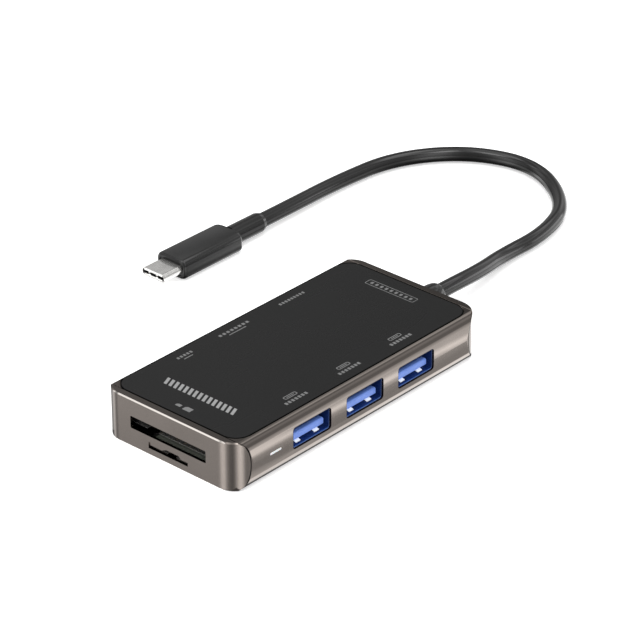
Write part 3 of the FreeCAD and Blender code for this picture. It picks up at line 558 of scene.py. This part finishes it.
# ---- plug ----
GRIP_TRIM = 0.15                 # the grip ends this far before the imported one
GRIP_FRONT = GRIP_LOW.x / MM
GRIP_BACK = GRIP_HIGH.x / MM - GRIP_TRIM
GRIP_WIDE = (GRIP_HIGH.y - GRIP_LOW.y) / MM
GRIP_TALL = (GRIP_HIGH.z - GRIP_LOW.z) / MM
GRIP_ROUND = 1.9                 # corner radius of the grip's section
GRIP_STEPS = 6                   # in each rounded end
CAN_ROOM = (24.65, 41.05)        # front and back of the hollow round the plug's can
MOUTH_DEPTH = 0.35               # of the recess round the shell


def grip_end(end, inward, across, up, softer):
    """Sections of a rounded end of the grip, from full size out to its face at x = end."""
    rings = []
    for step in range(GRIP_STEPS + 1):
        angle = math.radians(90 * step / GRIP_STEPS)
        fall = 1 - math.cos(angle)
        x = end + inward * across * (1 - math.sin(angle))
        sizes = (GRIP_WIDE - 2 * across * fall, GRIP_TALL - 2 * up * fall)
        rings.append((x, *sizes, GRIP_ROUND + softer * fall))
    return rings


def grip_rings():
    """Sections of the grip as (x, width, height, corner radius): over its skin, then back inside."""
    rings = grip_end(GRIP_FRONT, 1, 0.9, 0.6, 0.0)[::-1]
    rings += grip_end(GRIP_BACK, -1, 1.2, 0.2, 0.6)
    bore = (5.0, 5.0, 2.49)
    can = (9.0, 4.0, 0.5)
    mouth = (8.35, 2.5, 1.24)
    room_front, room_back = CAN_ROOM
    rings += [(GRIP_BACK, *bore), (room_back, *bore), (room_back, *can)]
    rings += [(room_front, *can), (room_front, *mouth)]
    recess = GRIP_FRONT + MOUTH_DEPTH
    rings += [(recess, *mouth), (recess, 8.5, 3.5, 1.5), (GRIP_FRONT, 8.6, 3.7, 1.6)]
    return rings


def make_grip():
    """The soft-edged grip of the plug, with a shallow recess round the shell."""
    def build(work):
        rings = []
        for x, wide, high, radius in grip_rings():
            points = rounded(wide, high, radius, 8)
            rings.append([work.verts.new((x * MM, (PLUG_Y + u) * MM, (PLUG_Z + v) * MM)) for u, v in points])
        for first, second in zip(rings, rings[1:] + rings[:1]):
            for index in range(len(first)):
                after = (index + 1) % len(first)
                work.faces.new([first[index], first[after], second[after], second[index]])
    mesh = mesh_from(build)
    soften(mesh)
    return new_piece("plug_grip", mesh, "grip_plastic")


def make_plug_springs():
    """The bright shield plates above and below the plug's slot, each with two fingers across it."""
    mouth = SHELL_LOW.x / MM
    # Outlines as (back from the mouth, away from the middle); bars as (aside, width, outline).
    plate = [(0.06, 0.97), (0.02, 0.60), (0.04, 0.48), (0.12, 0.44), (0.14, 0.60), (0.20, 0.97)]
    finger = [(0.03, 0.60), (0.04, 0.20), (0.09, 0.16), (0.13, 0.60)]
    bars = [(0.0, 6.6, plate), (-1.35, 0.7, finger), (1.35, 0.7, finger)]

    def build(work):
        for up in (-1, 1):
            for place, wide, outline in bars:
                ends = []
                for y in (PLUG_Y + place - wide / 2, PLUG_Y + place + wide / 2):
                    points = [((mouth + x) * MM, y * MM, (PLUG_Z + up * z) * MM) for x, z in outline]
                    ends.append([work.verts.new(point) for point in points])
                near, far = ends
                work.faces.new(near[::-1])
                work.faces.new(far)
                for index in range(len(outline)):
                    after = (index + 1) % len(outline)
                    work.faces.new([near[index], near[after], far[after], far[index]])
    return new_piece("plug_springs", mesh_from(build), "nickel_steel")


# ---- printed marks on the top panel ----
INK_THICK = 0.012 * MM
INK_SUNK = 0.002 * MM            # the ink starts this far down in the panel
USB_MARK_Y = -15.1
FAR_MARKS = [                    # name, x, y, width, number of dashes, and whether a line is inside
    ("power_mark", -21.2, 17.2, 5.5, 5, True),
    ("lan_mark", -3.7, 17.2, 11.0, 8, True),
    ("video_mark", 17.5, 17.1, 9.5, 9, False),
]
STRIPES_X = -33.0                # the band of stripes near the front end
STRIPES_Y = 0.7
STRIPES = 15
STRIPE_PITCH = 1.56
CARD_MARK_X = -39.4
REAR_MARK = (37.2, 1.0)


def add_plate(work, outline, hole=None):
    """A thin plate of ink on the top panel, with an optional hole of as many points as its outline."""
    levels = (TOP - INK_SUNK, TOP + INK_THICK)
    rings = []
    for line in (outline, hole):
        if line is None:
            continue
        for z in levels:
            rings.append([work.verts.new((x * MM, y * MM, z)) for x, y in line])
    count = len(outline)
    if hole is None:
        work.faces.new(rings[0][::-1])
        work.faces.new(rings[1])
        pairs = [(0, 1)]
    else:
        pairs = [(0, 1), (1, 3), (3, 2), (2, 0)]
    for first, second in pairs:
        for index in range(count):
            after = (index + 1) % count
            corners = [rings[first][index], rings[first][after], rings[second][after], rings[second][index]]
            work.faces.new(corners)


def moved(outline, x, y):
    """An outline moved to a place."""
    return [(x + u, y + v) for u, v in outline]


def print_mark(name, shapes, ink="print_ink"):
    """One printed mark, from (outline, hole) pairs in millimetres."""
    def build(work):
        for outline, hole in shapes:
            add_plate(work, outline, hole)
    return new_piece(name, mesh_from(build), ink)


def port_mark(name, x, y):
    """A generic mark for a USB-A port: an outlined pill with a bar, and a row of dashes by the edge."""
    dashes_aside = 1.95
    dash_pitch = 1.15
    shapes = [(moved(rounded(4.4, 1.3, 0.5), x, y), moved(rounded(3.9, 0.8, 0.3), x, y))]
    shapes.append((moved(rounded(2.6, 0.25, 0.1), x, y), None))
    for place in range(-3, 4):
        shapes.append((moved(rounded(0.75, 1.0, 0.12), x + place * dash_pitch, y - dashes_aside), None))
    return print_mark(name, shapes, "faint_ink")


def far_mark(name, x, y, wide, dashes, lined):
    """A generic mark for a port on the far side: a row of dashes, some with a shorter line inside."""
    line_aside = 1.35
    pitch = wide / dashes
    shapes = []
    for index in range(dashes):
        place = x + (index - (dashes - 1) / 2) * pitch
        shapes.append((moved(rounded(pitch * 0.62, 0.9, 0.12), place, y), None))
    if lined:
        shapes.append((moved(rounded(wide * 0.55, 0.3, 0.1), x, y - line_aside), None))
    return print_mark(name, shapes, "faint_ink")


def front_mark():
    """A wide generic band of slanting stripes near the front end."""
    shapes = []
    tall = 2.7
    half = 0.45
    lean = 0.55
    far_end = [(tall / 2, lean - half), (tall / 2, lean + half)]
    near_end = [(-tall / 2, half - lean), (-tall / 2, -half - lean)]
    for index in range(STRIPES):
        aside = (index - STRIPES // 2) * STRIPE_PITCH
        shapes.append((moved(far_end + near_end, STRIPES_X, STRIPES_Y + aside), None))
    return print_mark("front_mark", shapes)


def card_mark():
    """A small generic mark for the card slots: two cards side by side."""
    large = [(-0.8, -1.2), (0.8, -1.2), (0.8, 0.7), (0.3, 1.2), (-0.8, 1.2)]
    small = [(-0.5, -0.8), (0.5, -0.8), (0.5, 0.4), (0.1, 0.8), (-0.5, 0.8)]
    shapes = [(moved(large, CARD_MARK_X, -1.4), None), (moved(small, CARD_MARK_X, 1.6), None)]
    return print_mark("card_mark", shapes, "faint_ink")


def rear_mark():
    """An outlined box with dashes inside, near the cable end."""
    x, y = REAR_MARK
    shapes = [(moved(rounded(2.5, 16.0, 0.5), x, y), moved(rounded(2.1, 15.6, 0.35), x, y))]
    for place in range(-4, 5):
        shapes.append((moved(rounded(1.0, 0.8, 0.15), x, y + place * 1.6), None))
    return print_mark("rear_mark", shapes, "faint_ink")


def make_prints():
    """All the printed marks."""
    for number in (1, 2, 3):
        x = (PORT_MIDDLE + (number - 2) * PORT_PITCH) / MM
        port_mark("usb_a_mark_" + str(number), x, USB_MARK_Y)
    for mark in FAR_MARKS:
        far_mark(*mark)
    front_mark()
    card_mark()
    rear_mark()


# ---- stage ----
FLOOR_GLOW = 0.45                # keeps the floor pale, in the camera's view only
FLOOR_LIGHT = 0.2                # the world's light from below, on dull surfaces
# The world that reflections see is the product of two sets of soft bands.
HEIGHT_PEAK = 3.4                # the brightest band by height
HEIGHT_BANDS = [                 # height of the direction, from -1 (down) to 1 (up), and its level
    (-1.0, 0.2),
    (-0.81, 0.4),
    (-0.77, 1.8),
    (-0.70, 2.2),
    (-0.63, 2.4),
    (-0.59, 1.9),
    (-0.575, 1.0),
    (-0.56, 0.68),
    (-0.53, 0.76),
    (-0.50, 0.95),
    (-0.485, 1.5),
    (-0.47, 3.4),
    (-0.455, 2.4),
    (-0.44, 1.6),
    (-0.28, 1.4),
    (-0.11, 1.1),
    (-0.02, 0.5),
    (0.20, 0.45),
    (0.30, 0.6),
    (0.42, 0.75),
    (0.49, 0.42),
    (0.555, 0.40),
    (0.575, 1.1),
    (0.63, 1.1),
    (0.68, 0.4),
    (0.79, 0.45),
    (0.85, 2.0),
    (0.92, 2.0),
    (1.0, 1.0),
]
TURN_PEAK = 2.8                  # the brightest band by direction
TURN_BANDS = [                   # degrees round from +X, and the level there
    (0, 1.1),
    (17, 1.6),
    (30, 0.3),
    (39, 0.35),
    (46, 0.8),
    (80, 0.5),
    (101, 1.7),
    (120, 0.5),
    (130, 0.95),
    (144, 1.2),
    (155, 2.1),
    (163, 2.45),
    (172, 2.3),
    (180, 1.5),
    (188, 0.85),
    (200, 0.5),
    (211, 0.43),
    (220, 0.68),
    (229, 1.45),
    (238, 2.45),
    (246, 2.8),
    (254, 2.3),
    (268, 0.95),
    (278, 0.72),
    (292, 0.75),
    (318, 1.0),
    (340, 1.2),
    (360, 1.1),
]


def soft_world():
    """A pale studio: soft bands of light for reflections, and plain light from above for all else."""
    world = bpy.data.worlds.new("studio")
    bpy.context.scene.world = world
    world.use_nodes = True
    world.node_tree.nodes.clear()
    sky = Nodes(world.node_tree)
    place = sky.node("TexCoord").outputs["Generated"]
    parts = sky.parts(place)
    heights = [(height, level / HEIGHT_PEAK) for height, level in HEIGHT_BANDS]
    by_height = sky.ramp(parts["Z"], heights, -1, 1)
    turn = sky.over(sky.maths("ARCTAN2", parts["Y"], parts["X"]), 2 * math.pi)
    around = sky.maths("FRACT", turn)
    turns = [(degrees / 360, level / TURN_PEAK) for degrees, level in TURN_BANDS]
    by_turn = sky.ramp(around, turns, 0, 1)
    level = sky.times(sky.times(by_height, by_turn), HEIGHT_PEAK * TURN_PEAK)
    bands = sky.node("Background", {"Color": (1, 1, 1, 1), "Strength": level}).outputs[0]
    from_above = sky.range(parts["Z"], FLOOR_LIGHT, 1.0, -0.1, 0.1)
    plain = sky.node("Background", {"Color": (1, 1, 1, 1), "Strength": from_above}).outputs[0]
    path = sky.node("LightPath").outputs["Is Glossy Ray"]
    both = sky.node("MixShader", {"Fac": path, 1: plain, 2: bands}).outputs[0]
    sky.node("OutputWorld", {"Surface": both})


def panel_light(name, place, aim, size, power):
    """A soft rectangular light that points at a spot."""
    data = bpy.data.lights.new(name, "AREA")
    data.shape = "RECTANGLE"
    data.size, data.size_y = size
    data.energy = power
    light = bpy.data.objects.new(name, data)
    bpy.context.scene.collection.objects.link(light)
    light.location = place
    light.rotation_mode = "QUATERNION"
    light.rotation_quaternion = (Vector(aim) - Vector(place)).to_track_quat("-Z", "Y")
    light.visible_camera = False
    return light


def flat_sheet(name, low, high, height):
    """A flat stage sheet between two (x, y) corners."""
    mesh = bpy.data.meshes.new(name)
    corners = [(low[0], low[1], 0), (high[0], low[1], 0), (high[0], high[1], 0), (low[0], high[1], 0)]
    mesh.from_pydata(corners, [], [(0, 1, 2, 3)])
    sheet = bpy.data.objects.new(name, mesh)
    bpy.context.scene.collection.objects.link(sheet)
    sheet.location.z = height
    return sheet


def make_floor():
    """The pale floor."""
    reach = 6.0
    floor = flat_sheet("floor", (-reach, -reach), (reach, reach), -0.02 * MM)
    paint = Paint("floor", roughness=0.9, specular_ior_level=0.0)
    paint.set("Base Color", paint.mix(paint.noise(8.0, 2.0), (0.90, 0.90, 0.90), (0.92, 0.92, 0.92)))
    paint.set("Emission Color", (1.0, 1.0, 1.0))
    seen = paint.node("LightPath").outputs["Is Camera Ray"]
    paint.set("Emission Strength", paint.times(seen, FLOOR_GLOW))
    floor.data.materials.append(paint.material)
    floor.visible_glossy = False
    floor.visible_diffuse = False
    floor.visible_shadow = False


def make_under_sheet():
    """A dim sheet under the body, which only reflections see: it puts painted shade into the reflections
    near the floor.
    """
    inset = 0.35 * MM
    low = (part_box("front_end_cap")[0].x + inset, SLEEVE_LOW.y + inset)
    under = flat_sheet("under_body", low, (REAR - inset, SLEEVE_HIGH.y - inset), -0.01 * MM)
    dim = Paint("under_body", roughness=1.0, specular_ior_level=0.0, base_color=(0.0, 0.0, 0.0))
    dim.set("Emission Color", (1.0, 1.0, 1.0))
    dim.set("Emission Strength", dim.range(dim.noise(60.0), 0.20, 0.25))
    under.data.materials.append(dim.material)
    under.visible_camera = False
    under.visible_diffuse = False
    under.visible_shadow = False


def make_lights():
    """A broad light overhead for dull surfaces, and a low one that only reflections see."""
    overhead = panel_light("overhead", (0.1, 0.1, 0.9), (0.03, 0.02, 0), (0.9, 0.9), 4.0)
    overhead.visible_glossy = False
    low_box = panel_light("low_box", (0.98, -0.41, 0.11), (0.08, 0.0, 0.0), (0.66, 0.28), 1.0)
    low_box.visible_diffuse = False


# ---- the object ----
make_camera()
cable = make_cable()
cable.data.materials.append(MATERIALS["cable_jacket"])
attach(cable, BODY)
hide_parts("cable_sheath")
paint_frame()
make_prints()
grip = make_grip()
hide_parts("plug_overmould")
springs = make_plug_springs()
make_floor()
make_under_sheet()
make_lights()
soft_world()
bpy.context.scene.view_settings.view_transform = "Standard"
